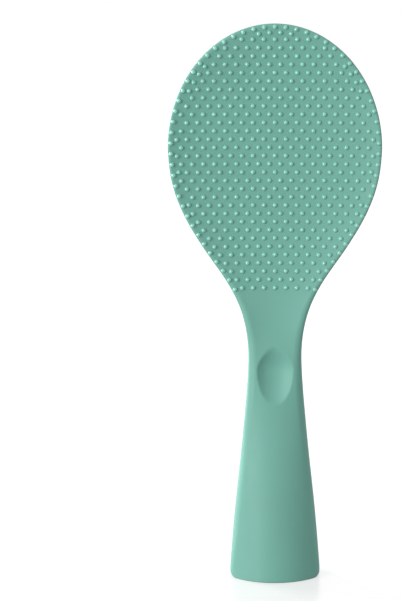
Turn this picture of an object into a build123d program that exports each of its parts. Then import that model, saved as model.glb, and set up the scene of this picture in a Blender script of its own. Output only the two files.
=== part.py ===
from build123d import *
import math
import os

# A self-standing rice paddle: a dished blade with nubs on both faces, a slim neck with a
# thumb rest, and a flared hollow handle that stands on its open end. A plug closes the end
# and carries a steel weight. Millimetres, +Z up the handle, front face towards -Y, origin
# at the centre of the foot's underside.

# Driving dimensions of the body
overall_height = 204.0
blade_width = 77.8
foot_depth = 28.0
blade_thickness = 2.6
blade_bow = 3.0          # how far the middle of the blade lies behind the handle's axis
dish_depth = 4.4         # hollow of the front face across the blade
rim_thinning = 0.6       # how much thinner the rim is than the middle
rim_round = 0.4
foot_corner = 2.2
trim_margin = 1.0        # the lofted block is this much wider than the outline that trims it

# Stations from just below the foot to just above the tip, as shares. height and width: of
# the overall height and the blade's width. bulk: of the step from the blade's thickness to
# the foot's depth. bow: of blade_bow. swell: convex crown, of half the local depth.
# dish: of dish_depth. fullness: 1/3 is a parabola, more is a flatter middle with rounder sides.
# columns: height, width, bulk, bow, swell, dish, fullness
station_shares = [
    (-0.0100, 0.4390, 1.014, 0.00, 0.78, 0.00, 0.48),
    (0.1150, 0.3860, 0.810, 0.00, 0.74, 0.00, 0.46),
    (0.2630, 0.3050, 0.530, 0.00, 0.56, 0.02, 0.50),
    (0.3960, 0.2520, 0.306, 0.02, 0.46, 0.50, 0.60),
    (0.4544, 0.2722, 0.208, 0.16, 0.34, 0.69, 0.50),
    (0.4985, 0.3368, 0.135, 0.34, 0.18, 0.58, 0.40),
    (0.5422, 0.4576, 0.080, 0.54, 0.06, 0.54, 0.42),
    (0.6000, 0.6684, 0.036, 0.76, 0.00, 0.66, 0.50),
    (0.6574, 0.8458, 0.012, 0.90, 0.00, 0.82, 0.60),
    (0.7150, 0.9589, 0.004, 0.98, 0.00, 0.94, 0.66),
    (0.7794, 1.0000, 0.000, 1.00, 0.00, 1.00, 0.70),
    (0.8900, 1.0000, 0.000, 0.72, 0.00, 1.00, 0.70),
    (1.0100, 1.0000, 0.000, -0.50, 0.00, 1.00, 0.70),
]
widest_station = 10
body_sections = 24
hollow_sections = 5
hollow_top_share = 0.28  # of the overall height
foot_flare_slope = 0.075 # sideways run of the outline for each millimetre up, at the foot

# Thumb rest on the front of the neck
thumb_height = 75.5
thumb_above = 11.5
thumb_below = 10.5
thumb_depth = 2.6
thumb_radius = 7.4       # radius of the round tool in front of the face that leaves the hollow
thumb_deepest_share = 0.43
thumb_soft_slope = 0.25
thumb_sharp_slope = 0.55
thumb_lean_slope = 0.10  # how fast the front of the neck draws back going up

# Nubs on both faces of the blade
nub_width = 1.4
nub_height = 0.65
nub_pitch = 4.0
nub_row_pitch = 3.008
nub_rows = 32
first_row_drop = 2.7     # from the tip down to the first row of the grid
ring_margin = 0.2        # flat left between the rim's rounding and the ring of nubs
ring_gap = 1.9           # least distance from the ring of nubs to the nubs of the grid
ring_reach = 1.15        # nubs that would have to move further than this are left out

# Foot, plug and weight
wall = 2.6               # front and back walls of the hollow
seat_ledge = 0.8
rim_land = 0.8           # flat rim left between the foot's corner and the seat of the plug
plug_recess = 0.6
plug_plate = 2.4
plug_clearance = 0.15
skirt_height = 6.0
skirt_wall = 1.4
bead_height = 0.35
bead_width = 1.0
bead_rise = 4.0          # from the seat up to the middle of the snap bead
bead_clearance = 0.1
weight_width_share = 0.50
weight_depth_share = 0.36
weight_height = 20.0
weight_corner = 3.0
weight_edge = 0.8
cradle_wall = 1.2
cradle_height = 7.0
cradle_clearance = 0.1
rib_thickness = 1.6
rib_spacing = 12.0
rib_clearance = 0.1

seat_height = plug_recess + plug_plate
side_wall = foot_corner + rim_land + seat_ledge
ring_inset = rim_round + nub_width / 2 + ring_margin
far = blade_width        # a length that is surely clear of the part


def crowned_section(height, half_width, front, back, front_crown, back_crown, fullness):
    """Closed section at one height: two crowned faces joined by straight sides.

    front and back are the faces' positions on the centre line, crowns are convex if positive.
    """
    front_edge = front + front_crown
    back_edge = back - back_crown
    handle_x = fullness * half_width
    front_pull = front_edge - front_crown * 4 / 3
    back_pull = back_edge + back_crown * 4 / 3
    return Wire([
        Bezier((-half_width, front_edge, height), (-handle_x, front_pull, height),
               (handle_x, front_pull, height), (half_width, front_edge, height)),
        Line((half_width, front_edge, height), (half_width, back_edge, height)),
        Bezier((half_width, back_edge, height), (handle_x, back_pull, height),
               (-handle_x, back_pull, height), (-half_width, back_edge, height)),
        Line((-half_width, back_edge, height), (-half_width, front_edge, height)),
    ])


def shape_at(height):
    """Station shares at any height, eased smoothly between the stations."""
    last = len(station_shares) - 1
    low = max(i for i in range(last) if i == 0 or station_shares[i][0] <= height)
    start, end = station_shares[low], station_shares[low + 1]
    step = end[0] - start[0]
    t = (height - start[0]) / step

    def slope(station, column):
        before = station_shares[max(station - 1, 0)]
        after = station_shares[min(station + 1, last)]
        return (after[column] - before[column]) / (after[0] - before[0])

    shares = [height]
    for column in range(1, len(start)):
        shares.append(
            (2 * t**3 - 3 * t**2 + 1) * start[column]
            + (t**3 - 2 * t**2 + t) * step * slope(low, column)
            + (3 * t**2 - 2 * t**3) * end[column]
            + (t**3 - t**2) * step * slope(low + 1, column))
    return shares


def even_heights(low, high, count):
    """Evenly spaced heights from low to high."""
    return [low + (high - low) * i / (count - 1) for i in range(count)]


def body_section(share, grow):
    """Outer section at a share of the height, wider than the outline by grow."""
    height, width, bulk, bow, swell, dish, fullness = shape_at(share)
    depth = blade_thickness + bulk * (foot_depth - blade_thickness)
    middle = bow * blade_bow
    crown = swell * depth / 2
    return crowned_section(
        height * overall_height,
        width * blade_width / 2 + grow,
        middle - depth / 2,
        middle + depth / 2,
        crown - dish * dish_depth,
        crown + dish * (dish_depth + rim_thinning),
        fullness,
    )


def handle_core(inset):
    """Solid that follows the handle from below the foot up to the hollow's end, inset."""
    wires = []
    for share in even_heights(station_shares[0][0], hollow_top_share, hollow_sections):
        height, width, bulk, bow, swell, dish, fullness = shape_at(share)
        depth = blade_thickness + bulk * (foot_depth - blade_thickness)
        reach = depth / 2 - inset
        crown = swell * reach
        wires.append(crowned_section(
            height * overall_height, width * blade_width / 2 - inset - side_wall + wall,
            -reach, reach, crown, crown, fullness))
    return Solid.make_loft(wires)


def slab(low, high):
    """Everything between two heights."""
    return Pos(0, 0, (low + high) / 2) * Box(far, far, high - low)


def outline_curves():
    """Right half of the front view from the tip to the foot, as the cap and the side."""
    half_width = blade_width / 2
    widest_height = station_shares[widest_station][0] * overall_height
    cap = EllipticalCenterArc(
        (0, widest_height), half_width, overall_height - widest_height,
        start_angle=90, arc_size=-90)
    points = [(width * half_width, height * overall_height)
              for height, width, *_ in station_shares[:widest_station + 1]]
    side = Spline(*reversed(points), tangents=[(0, -1), (foot_flare_slope, -1)])
    return cap, side


def outline_sketch():
    """Front view of the paddle, with the foot's two corners rounded."""
    cap, side = outline_curves()
    base = Line(side @ 1, (0, (side @ 1).Y))
    right = [cap, side, base]
    left = [mirror(curve, Plane.YZ) for curve in right]
    sketch = make_face(right + left) - Pos(0, -far / 2) * Rectangle(far, far)
    corners = sketch.vertices().group_by(Axis.Y)[0].sort_by(Axis.X)
    return fillet([corners[0], corners[-1]], foot_corner)


def plain_body():
    """The paddle's solid outer shape without hollow, thumb rest or nubs."""
    heights = even_heights(station_shares[0][0], station_shares[-1][0], body_sections)
    block = Solid.make_loft([body_section(share, trim_margin) for share in heights])
    trim = extrude(Plane.XZ.offset(-far / 2) * outline_sketch(), amount=far)
    body = (block & trim).solids()[0]
    front, back = broad_faces(body)
    return fillet(front.edges() + back.edges(), rim_round).solids()[0]


def broad_faces(body):
    """The front and the back face of the body."""
    faces = body.faces().sort_by(SortBy.AREA)[-2:]
    return faces.sort_by(Axis.Y)


def thumb_tool(front_face):
    """Round tool that leaves the drop-shaped thumb rest, soft above and pointed below."""
    centre, _ = front_face.find_intersection_points(
        Axis((0, -far, thumb_height), (0, 1, 0)))[0]
    plane = Plane(centre, x_dir=(0, thumb_lean_slope, 1), z_dir=(1, 0, 0))
    deepest = thumb_above - thumb_deepest_share * (thumb_above + thumb_below)
    bottom = Spline(
        (thumb_above, 0), (deepest, -thumb_depth), (-thumb_below, 0),
        tangents=[(-1, -thumb_soft_slope), (-1, thumb_sharp_slope)])
    profile = make_face([
        bottom,
        Line((-thumb_below, 0), (-thumb_below, thumb_radius)),
        Line((-thumb_below, thumb_radius), (thumb_above, thumb_radius)),
        Line((thumb_above, thumb_radius), (thumb_above, 0)),
    ])
    axis = Axis(plane.from_local_coords((0, thumb_radius, 0)), plane.x_dir)
    return revolve(plane * profile, axis)


def hollowed(body):
    """Cut the seat of the plug, the hollow with its ribs and the groove of the snap bead."""
    rib_foot = seat_height + weight_height + rib_clearance
    rib = Pos(0, 0, rib_foot + far / 2) * Box(rib_thickness, far, far)
    ribs = Pos(-rib_spacing / 2, 0, 0) * rib + Pos(rib_spacing / 2, 0, 0) * rib
    hollow = handle_core(wall) - ribs
    seat = extrude(seat_outline(0), amount=seat_height)
    groove_half = bead_width / 2 + bead_clearance
    groove_middle = seat_height + bead_rise
    groove = handle_core(wall - bead_height) & slab(
        groove_middle - groove_half, groove_middle + groove_half)
    return (body - hollow - seat - groove).solids()[0]


def foot_size():
    """Half width, half depth, swell and fullness of the foot's underside."""
    _, width, _, _, swell, _, fullness = shape_at(0)
    return width * blade_width / 2, foot_depth / 2, swell, fullness


def seat_outline(inset):
    """Outline of the plug's seat in the underside of the foot, inset all round."""
    half_width, half_depth, swell, fullness = foot_size()
    reach = half_depth - wall + seat_ledge - inset
    crown = swell * reach
    return make_face(crowned_section(
        0, half_width - side_wall + seat_ledge - inset, -reach, reach, crown, crown, fullness))


def nub_sites():
    """Places of the nubs in the right half of the front view, as (x, height, turn)."""
    cap, side = outline_curves()
    rim = Wire([cap, side])
    first_row = overall_height - first_row_drop
    last_row = first_row - (nub_rows - 1) * nub_row_pitch
    return ring_sites(rim, last_row) + grid_sites(rim, first_row)


def ring_sites(rim, lowest):
    """Nubs that follow the rim, from the tip down to the last row of the grid."""
    sites = []
    for step in range(int(rim.length / nub_pitch)):
        share = step * nub_pitch / rim.length
        place = rim.position_at(share)
        tangent = rim.tangent_at(share)
        spot = place + Vector(tangent.Y, -tangent.X) * ring_inset
        if spot.Y > lowest - nub_row_pitch / 4:
            sites.append((spot.X, spot.Y, math.atan2(tangent.Y, tangent.X)))
    return sites


def grid_sites(rim, first_row):
    """Nubs in staggered rows, those near the ring moved inwards to keep their distance."""
    outline = outline_sketch().face()
    keep = ring_inset + ring_gap
    sites = []
    for row in range(nub_rows):
        height = first_row - row * nub_row_pitch
        shift = nub_pitch / 2 if row % 2 == 0 else 0
        for column in range(int(blade_width / nub_pitch)):
            spot = Vector(shift + column * nub_pitch, height)
            if not outline.is_inside(spot):
                break
            distance, edge, _ = rim.distance_to_with_closest_points(spot)
            if distance < keep - ring_reach:
                continue
            if distance < keep:
                spot = edge + (spot - edge).normalized() * keep
            sites.append((spot.X, spot.Y, 0))
    return sites


def nub_planes(face, sites, side):
    """Planes that touch a blade face at the nubs, with their normals pointing outwards."""
    planes = []
    for x, height, turn in sites:
        touch, normal = face.find_intersection_points(
            Axis((x, side * far, height), (0, -side, 0)))[0]
        if normal.Y * side < 0:
            normal = -normal
        planes.append(Plane(touch, x_dir=(math.cos(turn), 0, math.sin(turn)), z_dir=normal))
        if x > nub_width:
            planes.append(Plane(
                (-touch.X, touch.Y, touch.Z), x_dir=(math.cos(turn), 0, -math.sin(turn)),
                z_dir=(-normal.X, normal.Y, normal.Z)))
    return planes


def nubbed_faces(face, sites, side):
    """The blade face with a square opening at each nub, and the small faces of the nubs."""
    half = nub_width / 2
    openings = []
    flanks = []
    for plane in nub_planes(face, sites, side):
        corners = [plane.from_local_coords((x, y, 0))
                   for x, y in ((-half, -half), (half, -half), (half, half), (-half, half))]
        top = plane.from_local_coords((0, 0, nub_height))
        openings.append(Wire.make_polygon(corners, close=True))
        for i in range(len(corners)):
            flanks.append(Face(Wire.make_polygon(
                [corners[i - 1], corners[i], top], close=True)))
    return [face.make_holes(openings)] + flanks


def with_nubs(body):
    """The body with its nubs, built into both broad faces."""
    front, back = broad_faces(body)
    sites = nub_sites()
    others = [face for face in body.faces() if face not in (front, back)]
    skin = others + nubbed_faces(front, sites, -1) + nubbed_faces(back, sites, 1)
    return Solid(Shell(skin))


def paddle_body():
    """The moulded paddle in one piece."""
    body = plain_body()
    front, _ = broad_faces(body)
    return with_nubs(hollowed(body - thumb_tool(front)))


def weight_size():
    """Width and depth of the steel weight."""
    half_width, half_depth, _, _ = foot_size()
    return 2 * half_width * weight_width_share, 2 * half_depth * weight_depth_share


def weight_outline(grow):
    """Round-cornered outline of the weight, wider by grow on every side."""
    width, depth = weight_size()
    return RectangleRounded(width + 2 * grow, depth + 2 * grow, weight_corner + grow)


def ballast_weight():
    """Steel bar that stands on the plug."""
    block = Pos(0, 0, seat_height) * extrude(weight_outline(0), amount=weight_height)
    ends = block.faces().sort_by(Axis.Z)
    return chamfer(ends[0].edges() + ends[-1].edges(), weight_edge)


def base_plug():
    """Plug that closes the foot: plate, snap skirt and the cradle of the weight."""
    plate = Pos(0, 0, plug_recess) * extrude(seat_outline(plug_clearance), amount=plug_plate)
    outer = handle_core(wall + plug_clearance)
    inner = handle_core(wall + plug_clearance + skirt_wall)
    skirt = (outer - inner) & slab(seat_height, seat_height + skirt_height)
    bead_middle = seat_height + bead_rise
    proud = handle_core(wall + plug_clearance - bead_height)
    bead = (proud - inner) & slab(bead_middle - bead_width / 2, bead_middle + bead_width / 2)
    lift = Pos(0, 0, seat_height)
    cradle = lift * extrude(weight_outline(cradle_clearance + cradle_wall), amount=cradle_height)
    pocket = lift * extrude(weight_outline(cradle_clearance), amount=cradle_height)
    return plate + (skirt + bead + (cradle & outer) - pocket)


if __name__ == "__main__":
    os.makedirs("parts", exist_ok=True)
    export_step(paddle_body(), "parts/paddle_body.step")
    export_step(base_plug(), "parts/base_plug.step")
    export_step(ballast_weight(), "parts/ballast_weight.step")
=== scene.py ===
import math

import bpy
from mathutils import Matrix, Vector
from mathutils.kdtree import KDTree


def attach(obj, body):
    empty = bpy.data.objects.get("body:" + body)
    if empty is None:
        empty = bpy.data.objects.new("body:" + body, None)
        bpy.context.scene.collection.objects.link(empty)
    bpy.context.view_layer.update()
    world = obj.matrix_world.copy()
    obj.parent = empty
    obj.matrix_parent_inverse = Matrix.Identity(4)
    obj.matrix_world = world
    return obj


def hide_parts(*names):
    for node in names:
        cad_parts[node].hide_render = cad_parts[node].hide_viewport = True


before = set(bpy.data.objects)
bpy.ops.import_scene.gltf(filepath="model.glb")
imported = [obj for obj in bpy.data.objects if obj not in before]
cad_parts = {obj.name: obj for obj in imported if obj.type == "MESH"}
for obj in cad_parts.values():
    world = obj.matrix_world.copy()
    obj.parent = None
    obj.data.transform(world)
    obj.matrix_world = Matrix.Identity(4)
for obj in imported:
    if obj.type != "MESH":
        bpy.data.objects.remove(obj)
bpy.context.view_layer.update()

# Rice paddle, in metres: a dished blade with nubs on both faces, a slim neck with a thumb
# rest and a flared handle that stands on its open end. +Z up, the front face towards -Y.
MM = 0.001
HEIGHT = 204 * MM
BLADE_WIDTH = 77.8 * MM
FOOT_DEPTH = 28 * MM
BLADE_THICKNESS = 2.6 * MM
BLADE_BOW = 3.0 * MM
DISH_DEPTH = 4.4 * MM
RIM_THINNING = 0.6 * MM
FOOT_CORNER = 2.2 * MM
SIDE_MARGIN = 1.0 * MM

# Stations from below the foot to above the tip, as shares
# columns: height, width, bulk, bow, swell, dish, fullness
STATION_SHARES = [
    (-0.0100, 0.4390, 1.014, 0.00, 0.78, 0.00, 0.48),
    (0.1150, 0.3860, 0.810, 0.00, 0.74, 0.00, 0.46),
    (0.2630, 0.3050, 0.530, 0.00, 0.56, 0.02, 0.50),
    (0.3960, 0.2520, 0.306, 0.02, 0.46, 0.50, 0.60),
    (0.4544, 0.2722, 0.208, 0.16, 0.34, 0.69, 0.50),
    (0.4985, 0.3368, 0.135, 0.34, 0.18, 0.58, 0.40),
    (0.5422, 0.4576, 0.080, 0.54, 0.06, 0.54, 0.42),
    (0.6000, 0.6684, 0.036, 0.76, 0.00, 0.66, 0.50),
    (0.6574, 0.8458, 0.012, 0.90, 0.00, 0.82, 0.60),
    (0.7150, 0.9589, 0.004, 0.98, 0.00, 0.94, 0.66),
    (0.7794, 1.0000, 0.000, 1.00, 0.00, 1.00, 0.70),
    (0.8900, 1.0000, 0.000, 0.72, 0.00, 1.00, 0.70),
    (1.0100, 1.0000, 0.000, -0.50, 0.00, 1.00, 0.70),
]
WIDEST_STATION = 10
WIDEST = STATION_SHARES[WIDEST_STATION][0] * HEIGHT

# Thumb rest: its middle, its reach above and below that, and its form
THUMB_HEIGHT = 75.5 * MM
THUMB_ABOVE = 11.5 * MM
THUMB_BELOW = 9.8 * MM
THUMB_DEPTH = 2.6 * MM
THUMB_RADIUS = 7.4 * MM
THUMB_DEEPEST_SHARE = 0.43
THUMB_SOFT_SLOPE = 0.25
THUMB_SHARP_SLOPE = 0.55
THUMB_LEAN_SLOPE = 0.10
THUMB_EDGE = 0.35 * MM

# Rounding of the long edges by height, and how much wider than deep it is
EDGE_ROUNDS = [(0, 0.7 * MM), (4 * MM, 1.2 * MM), (16 * MM, 2.2 * MM), (60 * MM, 2.4 * MM),
               (90 * MM, 2.4 * MM), (112 * MM, 1.4 * MM), (130 * MM, 0.95 * MM),
               (HEIGHT, 0.95 * MM)]
EDGE_ROLLS = [(0, 1.0), (20 * MM, 1.1), (70 * MM, 1.3), (HEIGHT, 1.3)]
# Rounding of the edges under the foot, which lie below this level
FOOT_ROUND = 0.5 * MM
FOOT_LEVEL = 0.1 * MM

# Nubs: a ring along the rim and staggered rows inside it
NUB_RADIUS = 0.85 * MM
NUB_HEIGHT = 0.8 * MM
NUB_SUNK = 0.3 * MM
NUB_PITCH = 4.0 * MM
NUB_ROW_PITCH = 3.008 * MM
NUB_ROWS = 32
FIRST_ROW = HEIGHT - 2.7 * MM
LAST_ROW = FIRST_ROW - (NUB_ROWS - 1) * NUB_ROW_PITCH
RING_INSET = 1.25 * MM
RING_GAP = 1.95 * MM
RING_REACH = 1.15 * MM
RING_END = LAST_ROW - NUB_ROW_PITCH / 4

# Foot
WALL = 2.6 * MM
SIDE_WALL = 3.8 * MM
SEAT_LEDGE = 0.8 * MM
SEAT_HEIGHT = 3.0 * MM
GROOVE_DEPTH = 0.35 * MM
GROOVE_LOW = 6.4 * MM
GROOVE_HIGH = 7.6 * MM
RIB_FOOT = 23.1 * MM
RIB_THICKNESS = 1.6 * MM
RIB_SPACING = 12 * MM
RIB_TOOL_HEIGHT = HEIGHT / 2
HOLLOW_TOP = 0.28 * HEIGHT
OVERRUN = 1 * MM

# Fineness of the meshes and of the sums behind them
COLUMNS = 20
CORNER_ROWS = 3
HANDLE_ROWS = [(58 * MM, 11), (92 * MM, 20), (WIDEST, 16)]
CAP_ROWS = 10
EDGE_ROOM = 1.1   # width of the sheet's outermost strip, in roundings
ROUND_SEGMENTS = 3
SMOOTH_LEVELS = 2
RIM_CAP_POINTS = 400
RIM_SIDE_POINTS = 900
FOOT_FACE_POINTS = 32
NUB_SEGMENTS = 14
NUB_RINGS = 10
HALVINGS = 24
MERGE_GAP = 0.002 * MM
BODY_SMOOTH_ANGLE = math.radians(40)
NUB_SMOOTH_ANGLE = math.radians(50)


# Shape

def shape_at(share):
    """Width, bulk, bow, swell, dish and fullness at a share of the height."""
    last = len(STATION_SHARES) - 1
    low = max(i for i in range(last) if i == 0 or STATION_SHARES[i][0] <= share)
    start, end = STATION_SHARES[low], STATION_SHARES[low + 1]
    step = end[0] - start[0]
    t = (share - start[0]) / step

    def slope(station, column):
        before = STATION_SHARES[max(station - 1, 0)]
        after = STATION_SHARES[min(station + 1, last)]
        return (after[column] - before[column]) / (after[0] - before[0])

    return [(2 * t**3 - 3 * t**2 + 1) * start[c] + (t**3 - 2 * t**2 + t) * step * slope(low, c)
            + (3 * t**2 - 2 * t**3) * end[c] + (t**3 - t**2) * step * slope(low + 1, c)
            for c in range(1, len(start))]


def section_depth(bulk):
    """Depth of a section from its share of the way from blade to foot."""
    return BLADE_THICKNESS + bulk * (FOOT_DEPTH - BLADE_THICKNESS)


def across_share(u, fullness):
    """Share of the way from the middle to the edge at the parameter u of a face's curve."""
    return u * (3 + 3 * fullness + u * u * (1 - 3 * fullness)) / 4


def half_width(z):
    """Half the paddle's width in the front view."""
    if z > WIDEST:
        rise = min((z - WIDEST) / (HEIGHT - WIDEST), 1)
        return BLADE_WIDTH / 2 * math.sqrt(1 - rise**2)
    width = shape_at(z / HEIGHT)[0] * BLADE_WIDTH / 2
    if z < FOOT_CORNER:
        width -= FOOT_CORNER - math.sqrt(FOOT_CORNER**2 - (FOOT_CORNER - z)**2)
    return width


def rim_points():
    """Right half of the outline from the tip down to the foot, closely spaced."""
    turns = [math.pi / 2 * i / RIM_CAP_POINTS for i in range(RIM_CAP_POINTS)]
    heights = [WIDEST * (1 - i / RIM_SIDE_POINTS) for i in range(RIM_SIDE_POINTS)]
    cap = [(BLADE_WIDTH / 2 * math.sin(turn), WIDEST + (HEIGHT - WIDEST) * math.cos(turn))
           for turn in turns]
    return cap + [(half_width(z), z) for z in heights]


def outline_tree():
    """Search tree of the outline's points."""
    points = rim_points()
    tree = KDTree(len(points))
    for i, (x, z) in enumerate(points):
        tree.insert((x, 0, z), i)
    tree.balance()
    return tree


def face_depths(x, z):
    """Y of the front and of the back face, without the thumb rest."""
    width, bulk, bow, swell, dish, fullness = shape_at(z / HEIGHT)
    depth = section_depth(bulk)
    middle = bow * BLADE_BOW
    crown = swell * depth / 2
    front_crown = crown - dish * DISH_DEPTH
    back_crown = crown + dish * (DISH_DEPTH + RIM_THINNING)
    across = min(abs(x) / (width * BLADE_WIDTH / 2 + SIDE_MARGIN), 1)
    low, high = 0.0, 1.0
    for _ in range(HALVINGS):
        u = (low + high) / 2
        if across_share(u, fullness) < across:
            low = u
        else:
            high = u
    return middle - depth / 2 + front_crown * u * u, middle + depth / 2 - back_crown * u * u


def by_height(table, z):
    """Value at a height from a table of heights and values."""
    for (low, first), (high, second) in zip(table, table[1:]):
        if z <= high:
            return first + (second - first) * max(z - low, 0) / (high - low)
    return table[-1][1]


def rolled_edge(z, away):
    """How far the face falls back at a distance from the outline."""
    depth = by_height(EDGE_ROUNDS, z)
    reach = depth * by_height(EDGE_ROLLS, z)
    if away >= reach:
        return 0
    return depth * (1 - math.sqrt(1 - (1 - away / reach)**2))


def thumb_depth(rise):
    """Depth of the thumb rest along its middle, None beyond its ends."""
    if rise <= -THUMB_BELOW or rise >= THUMB_ABOVE:
        return None
    deepest = THUMB_ABOVE - THUMB_DEEPEST_SHARE * (THUMB_ABOVE + THUMB_BELOW)
    if rise < deepest:
        span = deepest + THUMB_BELOW
        slope = THUMB_SHARP_SLOPE
    else:
        span = THUMB_ABOVE - deepest
        slope = THUMB_SOFT_SLOPE
    t = abs(rise - deepest) / span
    return (2 * t**3 - 3 * t**2 + 1) * THUMB_DEPTH - (t**3 - t**2) * span * slope


def front_with_thumb(x, z):
    """Y of the front face with the thumb rest pressed into it, its edge slightly softened."""
    front = face_depths(x, z)[0]
    rise = z - THUMB_HEIGHT
    depth = thumb_depth(rise)
    if depth is None or abs(x) > THUMB_RADIUS:
        return front
    middle = face_depths(0, THUMB_HEIGHT)[0] + THUMB_LEAN_SLOPE * rise
    tool = middle - THUMB_RADIUS + math.sqrt((THUMB_RADIUS + depth)**2 - x * x)
    apart = tool - front
    if apart <= -THUMB_EDGE:
        return front
    if apart >= THUMB_EDGE:
        return tool
    return front + (apart + THUMB_EDGE)**2 / (4 * THUMB_EDGE)


# Modelling helpers

def pick_only(obj):
    """Only this object is selected and active."""
    bpy.ops.object.select_all(action="DESELECT")
    obj.select_set(True)
    bpy.context.view_layer.objects.active = obj


def edit_all(obj):
    """Edit mode on this object with everything selected."""
    pick_only(obj)
    bpy.ops.object.mode_set(mode="EDIT")
    bpy.ops.mesh.select_all(action="SELECT")


def leave_edit():
    """Back to object mode."""
    bpy.ops.object.mode_set(mode="OBJECT")


def face_out(obj):
    """Merges doubles and points the faces outwards."""
    edit_all(obj)
    bpy.ops.mesh.remove_doubles(threshold=MERGE_GAP)
    bpy.ops.mesh.normals_make_consistent(inside=False)
    leave_edit()


def cut_away(obj, tool):
    """Cuts the tool out of the object and deletes the tool."""
    pick_only(obj)
    cut = obj.modifiers.new("cut", "BOOLEAN")
    cut.operation = "DIFFERENCE"
    cut.solver = "MANIFOLD"
    cut.object = tool
    bpy.ops.object.modifier_apply(modifier=cut.name)
    bpy.data.objects.remove(tool)


def keep_place(obj):
    """Puts the object's place, turn and size into its mesh."""
    pick_only(obj)
    bpy.ops.object.transform_apply(location=True, rotation=True, scale=True)


def shade_smooth(obj, angle):
    """Smooth shading, apart from edges that are sharper than the angle."""
    pick_only(obj)
    bpy.ops.object.shade_smooth_by_angle(angle=angle)


# Paddle body

def row_places():
    """Rows of the sheet from the foot up, as (height, share of the way up the cap)."""
    rows = [(FOOT_CORNER * (1 - math.cos(math.pi / 2 * i / CORNER_ROWS)), 0)
            for i in range(CORNER_ROWS + 1)]
    for top, count in HANDLE_ROWS:
        low = rows[-1][0]
        rows += [(low + (top - low) * (i + 1) / count, 0) for i in range(count)]
    rows += [(WIDEST, (i + 1) / CAP_ROWS) for i in range(CAP_ROWS)]
    return rows


def sheet_place(across, row):
    """X and Z of a point of the sheet; across runs from -1 to 1."""
    z, climb = row
    steps = COLUMNS / 2
    if abs(across) < 1:
        room = EDGE_ROOM * by_height(EDGE_ROUNDS, z) / half_width(z)
        across *= (1 - room) * steps / (steps - 1)
    if climb:
        x = BLADE_WIDTH / 2 * across * math.sqrt(1 - climb**2 / 2)
        return x, WIDEST + (HEIGHT - WIDEST) * climb * math.sqrt(1 - across**2 / 2)
    return half_width(z) * across, z


def thick_sheet():
    """A sheet in the outline, given its depth, and a list of which points are at the back."""
    rows = row_places()
    last = len(rows) - 1
    bpy.ops.object.select_all(action="DESELECT")
    bpy.ops.mesh.primitive_grid_add(x_subdivisions=COLUMNS, y_subdivisions=last, size=2)
    sheet = bpy.context.object
    for v in sheet.data.vertices:
        row = rows[round((v.co.y + 1) / 2 * last)]
        x, z = sheet_place(v.co.x, row)
        v.co = x, face_depths(x, z)[0], z
    edit_all(sheet)
    bpy.ops.mesh.extrude_region_move(TRANSFORM_OT_translate={"value": (0, BLADE_WIDTH, 0)})
    leave_edit()
    at_back = [v.select for v in sheet.data.vertices]
    for v in sheet.data.vertices:
        if at_back[v.index]:
            v.co.y = face_depths(v.co.x, v.co.z)[1]
    face_out(sheet)
    return sheet, at_back


def round_rim(body, at_back):
    """Rounds the edges of the front and the back face, more on the handle than on the blade."""
    mesh = body.data
    rim = set()
    for face in mesh.polygons:
        if len({at_back[v] for v in face.vertices}) == 2:
            rim |= {edge for edge in face.edge_keys if at_back[edge[0]] == at_back[edge[1]]}
    deepest = max(depth for _, depth in EDGE_ROUNDS)
    weights = mesh.attributes.new("bevel_weight_edge", "FLOAT", "EDGE")
    for edge in mesh.edges:
        if edge.key in rim:
            z = sum(mesh.vertices[v].co.z for v in edge.vertices) / 2
            depth = by_height(EDGE_ROUNDS, z) if z > FOOT_LEVEL else FOOT_ROUND
            weights.data[edge.index].value = depth / deepest
    rounding = body.modifiers.new("rounding", "BEVEL")
    rounding.limit_method = "WEIGHT"
    rounding.width = deepest
    rounding.segments = ROUND_SEGMENTS
    rounding.use_clamp_overlap = False
    bpy.ops.object.modifier_apply(modifier=rounding.name)


def smooth_form(body):
    """Subdivides the body, keeps it inside its faces and presses the thumb rest in."""
    smooth = body.modifiers.new("smooth", "SUBSURF")
    smooth.levels = smooth.render_levels = SMOOTH_LEVELS
    bpy.ops.object.modifier_apply(modifier=smooth.name)
    outline = outline_tree()
    for v in body.data.vertices:
        front, back = face_depths(v.co.x, v.co.z)
        _, _, away = outline.find((abs(v.co.x), 0, v.co.z))
        roll = rolled_edge(v.co.z, away)
        if v.co.y < (front + back) / 2:
            v.co.y = max(v.co.y, front + roll) + front_with_thumb(v.co.x, v.co.z) - front
        else:
            v.co.y = min(v.co.y, back - roll)


def foot_ring(z, inset_sides, inset_faces):
    """Points round the inside of the handle at one height."""
    width, bulk, _, swell, _, fullness = shape_at(z / HEIGHT)
    reach = section_depth(bulk) / 2 - inset_faces
    half = width * BLADE_WIDTH / 2 - inset_sides
    points = []
    for side in (-1, 1):
        for i in range(FOOT_FACE_POINTS):
            u = -side * (-1 + 2 * i / (FOOT_FACE_POINTS - 1))
            y = side * (reach - swell * reach * u * u)
            points.append((half * across_share(u, fullness), y, z))
    return points


def ring_solid(rings):
    """Closed solid through rings of points, each extruded from the one below."""
    bpy.ops.object.select_all(action="DESELECT")
    bpy.ops.mesh.primitive_circle_add(vertices=len(rings[0]), fill_type="NGON")
    solid = bpy.context.object
    for v, place in zip(solid.data.vertices, rings[0]):
        v.co = place
    for ring in rings[1:]:
        top = max(solid.data.polygons, key=lambda f: (len(f.vertices), f.center.z))
        for f in solid.data.polygons:
            f.select = f == top
        bpy.ops.object.mode_set(mode="EDIT")
        bpy.ops.mesh.select_mode(type="FACE")
        bpy.ops.mesh.extrude_region_move(TRANSFORM_OT_translate={"value": (0, 0, OVERRUN)})
        leave_edit()
        raised = [v for v in solid.data.vertices if v.select]
        for v, place in zip(raised, ring):
            v.co = place
    face_out(solid)
    return solid


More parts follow.
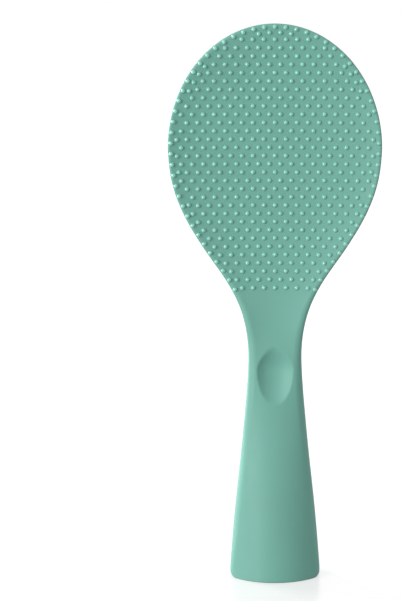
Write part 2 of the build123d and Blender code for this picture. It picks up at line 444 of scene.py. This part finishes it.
def hollow_foot(body):
    """Cuts the plug's seat and the hollow with its two ribs into the foot."""
    seat_ring = foot_ring(0, SIDE_WALL - SEAT_LEDGE, WALL - SEAT_LEDGE)
    seat = ring_solid([[(x, y, z) for x, y, _ in seat_ring] for z in (-OVERRUN, SEAT_HEIGHT)])
    levels = [(SEAT_HEIGHT - OVERRUN, 0), (GROOVE_LOW, 0), (GROOVE_LOW, GROOVE_DEPTH),
              (GROOVE_HIGH, GROOVE_DEPTH), (GROOVE_HIGH, 0), (RIB_FOOT, 0),
              ((RIB_FOOT + HOLLOW_TOP) / 2, 0), (HOLLOW_TOP, 0)]
    hollow = ring_solid([foot_ring(z, SIDE_WALL - more, WALL - more) for z, more in levels])
    for side in (-1, 1):
        bpy.ops.object.select_all(action="DESELECT")
        bpy.ops.mesh.primitive_cube_add(
            size=1, location=(side * RIB_SPACING / 2, 0, RIB_FOOT + RIB_TOOL_HEIGHT / 2),
            scale=(RIB_THICKNESS, FOOT_DEPTH, RIB_TOOL_HEIGHT))
        rib = bpy.context.object
        keep_place(rib)
        cut_away(hollow, rib)
    cut_away(body, seat)
    cut_away(body, hollow)


def paddle_body():
    """The moulded paddle: a sheet in the outline, given its depth, rounded and hollowed."""
    body, at_back = thick_sheet()
    body.name = "moulded_paddle"
    round_rim(body, at_back)
    smooth_form(body)
    hollow_foot(body)
    face_out(body)
    shade_smooth(body, BODY_SMOOTH_ANGLE)
    return body


# Nubs

def ring_sites(rim):
    """Places of the ring's nubs in the right half, one pitch apart along the outline."""
    sites = []
    walked, due = 0.0, 0.0
    for (x0, z0), (x1, z1) in zip(rim, rim[1:]):
        step = math.hypot(x1 - x0, z1 - z0)
        if walked + step >= due:
            t = (due - walked) / step
            x = x0 + (x1 - x0) * t + (z1 - z0) / step * RING_INSET
            z = z0 + (z1 - z0) * t - (x1 - x0) / step * RING_INSET
            if z > RING_END:
                sites.append((x, z))
            due += NUB_PITCH
        walked += step
    return sites


def row_sites(rim):
    """Places of the staggered rows' nubs in the right half. Those near the ring are moved
    inwards until they keep their distance, or left out when they are too near."""
    keep = RING_INSET + RING_GAP
    sites = []
    for row in range(NUB_ROWS):
        z = FIRST_ROW - row * NUB_ROW_PITCH
        x = NUB_PITCH / 2 if row % 2 == 0 else 0
        while x < half_width(z):
            edge = min(rim, key=lambda p: (p[0] - x)**2 + (p[1] - z)**2)
            away = math.hypot(x - edge[0], z - edge[1])
            if away >= keep:
                sites.append((x, z))
            elif away >= keep - RING_REACH:
                sites.append((edge[0] + (x - edge[0]) * keep / away,
                              edge[1] + (z - edge[1]) * keep / away))
            x += NUB_PITCH
    return sites


def nub_sites():
    """Places of one face's nubs in the front view."""
    rim = rim_points()
    sites = ring_sites(rim) + row_sites(rim)
    return sites + [(-x, z) for x, z in sites if x > NUB_RADIUS]


def nub_dome():
    """One round dome, flat below, whose lowest part sinks into the face."""
    bpy.ops.object.select_all(action="DESELECT")
    bpy.ops.mesh.primitive_uv_sphere_add(segments=NUB_SEGMENTS, ring_count=NUB_RINGS,
                                         radius=NUB_RADIUS)
    dome = bpy.context.object
    edit_all(dome)
    bpy.ops.transform.resize(value=(1, 1, NUB_HEIGHT / NUB_RADIUS))
    bpy.ops.mesh.bisect(plane_co=(0, 0, -NUB_SUNK), plane_no=(0, 0, 1), use_fill=True,
                        clear_inner=True)
    leave_edit()
    face_out(dome)
    return dome


def nub_field(name, inward, sites, dome, body):
    """The domes of one face in one piece; inward is 1 from the front and -1 from the back."""
    ahead = Vector((0, inward, 0))
    hits = [body.ray_cast(Vector((x, 0, z)) - ahead, ahead) for x, z in sites]
    copies = []
    for _, touch, out, _ in hits:
        turn = out.to_track_quat("Z", "Y").to_matrix().to_4x4()
        nub = dome.copy()
        nub.data = dome.data.copy()
        nub.matrix_world = Matrix.Translation(touch) @ turn
        bpy.context.scene.collection.objects.link(nub)
        copies.append(nub)
    bpy.ops.object.select_all(action="DESELECT")
    for nub in copies:
        nub.select_set(True)
    bpy.context.view_layer.objects.active = copies[0]
    bpy.ops.object.join()
    field = bpy.context.object
    field.name = name
    keep_place(field)
    shade_smooth(field, NUB_SMOOTH_ANGLE)
    return field


# Materials

# Plastic: the nubs' and the plug's tone are factors of the body's colour. The nubs' lighter tone
# is painted light: a painted highlight and glow standing in for the light their small domes
# catch and scatter.
MINT = (0.148, 0.383, 0.314)
NUB_PAINTED_LIGHT = 1.5
PLUG_TONE = 0.92
BODY_ROUGHNESS = 0.55
NUB_ROUGHNESS = 0.30
PLUG_ROUGHNESS = 0.50
NUB_COAT = 1
COAT_ROUGHNESS = 0.25
PLASTIC_IOR = 1.47
CLOUD_SCALE = 45
CLOUD_DETAIL = 3
CLOUD_CONTRAST = 0.025
WEAR_SCALE = 260
WEAR_DETAIL = 4
WEAR_SPREAD = 0.03
GRAIN_SCALE = 2600
GRAIN_DETAIL = 3
GRAIN_BREAKUP = 0.6
GRAIN_STRENGTH = 0.35
GRAIN_DEPTH = 0.03 * MM

# Steel, with brush lines along the bar
STEEL_DARK = (0.50, 0.50, 0.51)
STEEL_LIGHT = (0.62, 0.62, 0.63)
STEEL_SMOOTHEST = 0.28
STEEL_ROUGHEST = 0.42
BRUSH_SCALE = 2400
BRUSH_DETAIL = 4
BRUSH_STRETCH = 0.04

# Where most of a noise's values lie
NOISE_LOW = 0.3
NOISE_HIGH = 0.7


def new_material(name):
    """A material with its nodes, its links and its main shader."""
    material = bpy.data.materials.new(name)
    material.use_nodes = True
    nodes = material.node_tree.nodes
    return material, nodes, material.node_tree.links, nodes["Principled BSDF"]


def own_place(nodes):
    """The piece's own coordinates."""
    return nodes.new("ShaderNodeTexCoord").outputs["Object"]


def noise(nodes, links, place, scale, detail, breakup=0.5):
    """Noise at a place."""
    texture = nodes.new("ShaderNodeTexNoise")
    texture.inputs["Scale"].default_value = scale
    texture.inputs["Detail"].default_value = detail
    texture.inputs["Roughness"].default_value = breakup
    links.new(place, texture.inputs["Vector"])
    return texture.outputs["Fac"]


def spread(nodes, links, source, low, high):
    """Takes the middle of a noise to values from low to high."""
    span = nodes.new("ShaderNodeMapRange")
    span.inputs["From Min"].default_value = NOISE_LOW
    span.inputs["From Max"].default_value = NOISE_HIGH
    span.inputs["To Min"].default_value = low
    span.inputs["To Max"].default_value = high
    links.new(source, span.inputs["Value"])
    return span.outputs["Result"]


def two_tone(nodes, links, source, first, second):
    """Colour between two tones by a value from 0 to 1."""
    mix = nodes.new("ShaderNodeMix")
    mix.data_type = "RGBA"
    mix.inputs["A"].default_value = (*first, 1)
    mix.inputs["B"].default_value = (*second, 1)
    links.new(source, mix.inputs["Factor"])
    return mix.outputs["Result"]


def satin_plastic(name, colour, roughness, coat=0):
    """Satin moulded plastic: slight cloudiness of the colour, a fine sparked mould grain."""
    material, nodes, links, shader = new_material(name)
    place = own_place(nodes)
    cloud = spread(nodes, links, noise(nodes, links, place, CLOUD_SCALE, CLOUD_DETAIL), 0, 1)
    light = [c * (1 + CLOUD_CONTRAST) for c in colour]
    dark = [c * (1 - CLOUD_CONTRAST) for c in colour]
    links.new(two_tone(nodes, links, cloud, dark, light), shader.inputs["Base Color"])
    wear = spread(nodes, links, noise(nodes, links, place, WEAR_SCALE, WEAR_DETAIL),
                  roughness - WEAR_SPREAD, roughness + WEAR_SPREAD)
    links.new(wear, shader.inputs["Roughness"])
    grain = nodes.new("ShaderNodeBump")
    grain.inputs["Strength"].default_value = GRAIN_STRENGTH
    grain.inputs["Distance"].default_value = GRAIN_DEPTH
    links.new(noise(nodes, links, place, GRAIN_SCALE, GRAIN_DETAIL, GRAIN_BREAKUP),
              grain.inputs["Height"])
    links.new(grain.outputs["Normal"], shader.inputs["Normal"])
    shader.inputs["IOR"].default_value = PLASTIC_IOR
    shader.inputs["Coat Weight"].default_value = coat
    shader.inputs["Coat Roughness"].default_value = COAT_ROUGHNESS
    return material


def brushed_steel(name):
    """Sawn and brushed steel bar."""
    material, nodes, links, shader = new_material(name)
    stretch = nodes.new("ShaderNodeMapping")
    stretch.inputs["Scale"].default_value = (1, 1, BRUSH_STRETCH)
    links.new(own_place(nodes), stretch.inputs["Vector"])
    lines = noise(nodes, links, stretch.outputs["Vector"], BRUSH_SCALE, BRUSH_DETAIL)
    shine = spread(nodes, links, lines, STEEL_SMOOTHEST, STEEL_ROUGHEST)
    links.new(shine, shader.inputs["Roughness"])
    tone = two_tone(nodes, links, lines, STEEL_DARK, STEEL_LIGHT)
    links.new(tone, shader.inputs["Base Color"])
    shader.inputs["Metallic"].default_value = 1
    return material


mint_plastic = satin_plastic("mint_plastic", MINT, BODY_ROUGHNESS)
# The nubs get a lighter copy of the body's plastic, as painted highlight and glow rather than a
# different colour.
painted_light_nub_plastic = satin_plastic("painted_light_nub_plastic", [c * NUB_PAINTED_LIGHT for c in MINT], NUB_ROUGHNESS, NUB_COAT)
plug_plastic = satin_plastic("plug_plastic", [c * PLUG_TONE for c in MINT], PLUG_ROUGHNESS)
weight_steel = brushed_steel("weight_steel")


# The pieces

def dress(piece, material):
    """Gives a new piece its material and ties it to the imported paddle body."""
    piece.data.materials.clear()
    piece.data.materials.append(material)
    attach(piece, "root")
    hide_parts("paddle_body")


sites = nub_sites()
dome = nub_dome()
body = paddle_body()
dress(nub_field("front_nubs", 1, sites, dome, body), painted_light_nub_plastic)
dress(nub_field("back_nubs", -1, sites, dome, body), painted_light_nub_plastic)
dress(body, mint_plastic)
bpy.data.objects.remove(dome)

for node, material in (("base_plug", plug_plastic), ("ballast_weight", weight_steel)):
    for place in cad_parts[node].material_slots:
        place.material = material


# Camera: sensor and lens in millimetres, shifts as shares of the sensor
LOOK_DOWN = math.radians(9)
CAMERA_DISTANCE = 0.8
SENSOR_HEIGHT = 36
LENS_LENGTH = 130.7
SHIFT_ACROSS = -0.1238
SHIFT_UP = 0.0051
NEAREST_SEEN = 0.01

camera_data = bpy.data.cameras.new("camera")
camera = bpy.data.objects.new("camera", camera_data)
bpy.context.scene.collection.objects.link(camera)
bpy.context.scene.camera = camera
camera.location = (0, -CAMERA_DISTANCE * math.cos(LOOK_DOWN),
                   HEIGHT / 2 + CAMERA_DISTANCE * math.sin(LOOK_DOWN))
camera.rotation_euler = (math.pi / 2 - LOOK_DOWN, 0, 0)
camera_data.sensor_fit = "VERTICAL"
camera_data.sensor_height = SENSOR_HEIGHT
camera_data.lens = LENS_LENGTH
camera_data.shift_x = SHIFT_ACROSS
camera_data.shift_y = SHIFT_UP
camera_data.clip_start = NEAREST_SEEN


# Floor and light

WHITE = (1, 1, 1, 1)
FLOOR_SIZE = 6
FLOOR_GREY = (0.3, 0.3, 0.3, 1)
FLOOR_ROUGHNESS = 0.3
FLOOR_GLOW = 0.60
AMBIENT = 0.72
KEY_PLACE = (-0.92, -0.77, 0.34)
KEY_SIZE = (0.5, 0.7)
KEY_POWER = 10.5
RIM_PLACE = (-0.77, 0.64, 0.3)
RIM_SIZE = (0.4, 0.9)
RIM_POWER = 13


def seen_white(nodes, links):
    """1 for the camera, for reflections and for what shows through, else 0."""
    path = nodes.new("ShaderNodeLightPath")
    total = path.outputs["Is Camera Ray"]
    for name in ("Is Glossy Ray", "Is Transmission Ray"):
        add = nodes.new("ShaderNodeMath")
        add.operation = "ADD"
        add.use_clamp = True
        links.new(total, add.inputs[0])
        links.new(path.outputs[name], add.inputs[1])
        total = add.outputs[0]
    return total


def white_level(nodes, links, off, on, target):
    """Sets an input to one value where white is to be seen, and to another elsewhere."""
    level = nodes.new("ShaderNodeMapRange")
    level.inputs["To Min"].default_value = off
    level.inputs["To Max"].default_value = on
    links.new(seen_white(nodes, links), level.inputs["Value"])
    links.new(level.outputs["Result"], target)


def area_light(name, place, size, power):
    """A soft rectangular lamp, size as (width, height), that points at the paddle's middle."""
    data = bpy.data.lights.new(name, "AREA")
    data.shape = "RECTANGLE"
    data.size, data.size_y = size
    data.energy = power
    lamp = bpy.data.objects.new(name, data)
    lamp.location = place
    aim = Vector((0, 0, HEIGHT / 2)) - Vector(place)
    lamp.rotation_euler = aim.to_track_quat("-Z", "Y").to_euler()
    bpy.context.scene.collection.objects.link(lamp)


bpy.ops.object.select_all(action="DESELECT")
bpy.ops.mesh.primitive_plane_add(size=FLOOR_SIZE, location=(0, 0, 0))
floor = bpy.context.object
floor.name = "floor"
floor_material, nodes, links, shader = new_material("white_floor")
shader.inputs["Base Color"].default_value = FLOOR_GREY
shader.inputs["Roughness"].default_value = FLOOR_ROUGHNESS
shader.inputs["Emission Color"].default_value = WHITE
white_level(nodes, links, 0, FLOOR_GLOW, shader.inputs["Emission Strength"])
floor.data.materials.append(floor_material)

world = bpy.data.worlds.new("studio")
bpy.context.scene.world = world
world.use_nodes = True
nodes, links = world.node_tree.nodes, world.node_tree.links
background = nodes["Background"]
background.inputs["Color"].default_value = WHITE
white_level(nodes, links, AMBIENT, 1, background.inputs["Strength"])

area_light("key", KEY_PLACE, KEY_SIZE, KEY_POWER)
area_light("rim", RIM_PLACE, RIM_SIZE, RIM_POWER)

bpy.context.scene.view_settings.view_transform = "Standard"
